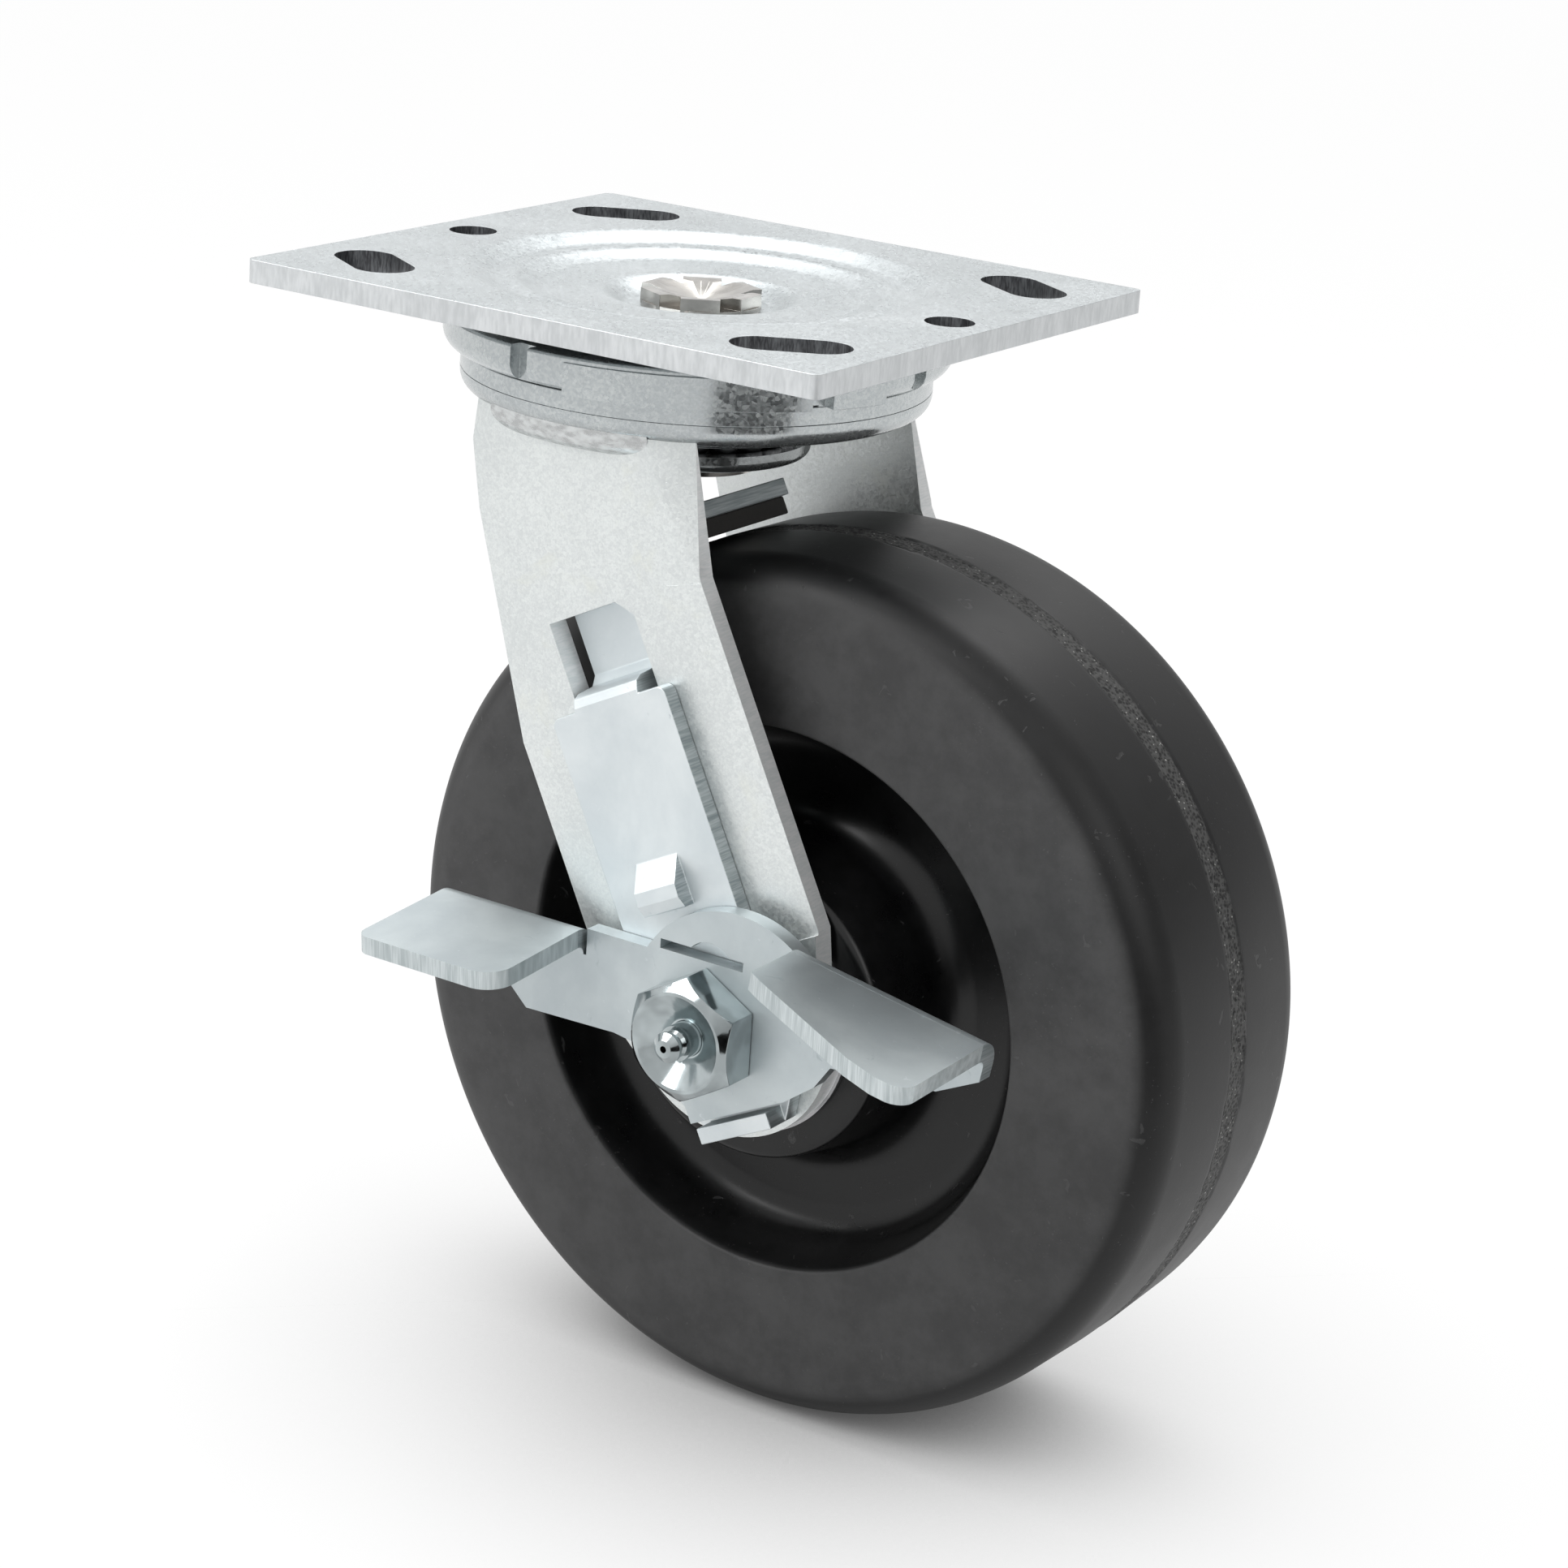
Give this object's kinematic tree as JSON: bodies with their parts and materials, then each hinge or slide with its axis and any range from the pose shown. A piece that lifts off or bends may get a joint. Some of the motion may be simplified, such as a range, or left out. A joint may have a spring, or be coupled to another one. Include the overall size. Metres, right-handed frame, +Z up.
{
  "type": "braked swivel castor",
  "caption": "Swivel castor with a slotted top plate, zinc-plated fork, solid black wheel and a rocking side lever brake.",
  "frame": {"origin": "swivel axis at the upper face of the top plate", "axes": "+Z up out of the plate, +X towards the trailing wheel, -Y towards the brake lever"},
  "size_m": [0.1714, 0.1185, 0.1905],
  "materials": {
    "zinc_plate": "dull zinc plating, fine grain",
    "zinc_fork": "dull zinc plating, coarse grain",
    "zinc_brake": "bright zinc plating with a blue cast",
    "bright_steel": "bright plated steel",
    "weld": "plated weld bead",
    "bearing_steel": "ground bearing steel",
    "cage": "moulded cage",
    "pad": "black rubber pad",
    "wheel": "satin black moulded resin"
  },
  "bodies": {
    "plate": {"top_plate": "zinc_plate", "king_pin": "bright_steel", "upper_race": "zinc_plate", "upper_balls": "bearing_steel", "lower_balls": "bearing_steel", "lower_race": "zinc_plate"},
    "fork": {"fork_crown": "zinc_fork", "seal_ring": "zinc_plate", "near_leg": "zinc_fork", "far_leg": "zinc_fork", "weld_beads": "weld", "axle_bolt": "bright_steel", "grease_nipple": "bright_steel", "lever_collar": "bearing_steel", "lock_nut": "bright_steel", "spanner_bushing": "bearing_steel", "thrust_washers": "bearing_steel"},
    "shoe": {"brake_arm": "zinc_brake", "brake_pad": "pad"},
    "lever": {"brake_lever": "zinc_brake"},
    "wheel": {"wheel": "wheel", "bearing_sleeve": "bearing_steel", "roller_cage": "cage", "rollers_set": "bearing_steel"}
  },
  "joints": [
    {"name": "swivel", "type": "hinge", "parent": "plate", "child": "fork", "pos_m": [0, 0, -0.0143], "axis": [0, 0, 1], "continuous": true},
    {"name": "wheel_spin", "type": "hinge", "parent": "fork", "child": "wheel", "pos_m": [0.0381, 0, -0.1143], "axis": [0, 1, 0], "continuous": true},
    {"name": "lever_rock", "type": "hinge", "parent": "fork", "child": "lever", "pos_m": [0.0381, -0.0415, -0.1143], "axis": [0, 1, 0], "range_deg": [0, 10]},
    {"name": "shoe_slide", "type": "slide", "parent": "fork", "child": "shoe", "axis": [0.4509, 0, -0.8926], "range_m": [0, 0.001]}
  ],
  "couplings": [
    {"joint": "shoe_slide", "follows": "lever_rock", "m_per_rad": 0.0057296}
  ]
}
